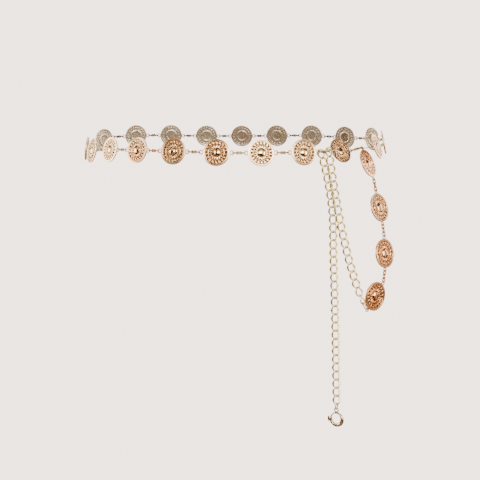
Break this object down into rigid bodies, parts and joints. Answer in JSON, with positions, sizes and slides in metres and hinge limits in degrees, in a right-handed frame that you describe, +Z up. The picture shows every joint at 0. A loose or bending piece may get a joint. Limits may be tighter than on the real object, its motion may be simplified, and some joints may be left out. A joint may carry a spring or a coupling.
{
  "type": "waist chain",
  "caption": "Belly chain of cast round medallions joined by small oval links, with hanging medallions and a curb chain that ends in a spring ring clasp.",
  "frame": {"origin": "middle of the waist loop, where the waist goes, at the height of the belt", "axes": "+Z up, -Y the wearer's front, +X towards the side with the hanging medallions"},
  "size_m": [0.3232, 0.2143, 0.3064],
  "materials": {
    "cast_gold": "pale rose gold plate with brown antiqued recesses",
    "link_gold": "pale gold plate, polished, antiqued",
    "curb_gold": "pale yellow gold plate, polished",
    "clasp_gold": "gold plate, polished"
  },
  "bodies": {
    "chain": {"medallion_01": "cast_gold", "medallion_02": "cast_gold", "medallion_03": "cast_gold", "medallion_04": "cast_gold", "medallion_05": "cast_gold", "medallion_06": "cast_gold", "medallion_07": "cast_gold", "medallion_08": "cast_gold", "medallion_09": "cast_gold", "medallion_10": "cast_gold", "medallion_11": "cast_gold", "medallion_12": "cast_gold", "medallion_13": "cast_gold", "medallion_14": "cast_gold", "medallion_15": "cast_gold", "medallion_16": "cast_gold", "medallion_17": "cast_gold", "medallion_18": "cast_gold", "medallion_19": "cast_gold", "medallion_20": "cast_gold", "medallion_21": "cast_gold", "medallion_22": "cast_gold", "medallion_23": "cast_gold", "medallion_24": "cast_gold", "waist_links": "link_gold", "drop_links": "link_gold", "curb_chain": "curb_gold", "lower_link": "link_gold", "hook": "link_gold", "clasp_link": "curb_gold", "ring_body": "clasp_gold"},
    "bolt": {"ring_bolt": "clasp_gold"}
  },
  "joints": [
    {"name": "bolt_turn", "type": "hinge", "parent": "chain", "child": "bolt", "pos_m": [0.10157, -0.08579, -0.27074], "axis": [-0.5592, -0.829, 0], "range_deg": [0, 45], "stiffness_Nm_per_rad": 0.002}
  ]
}
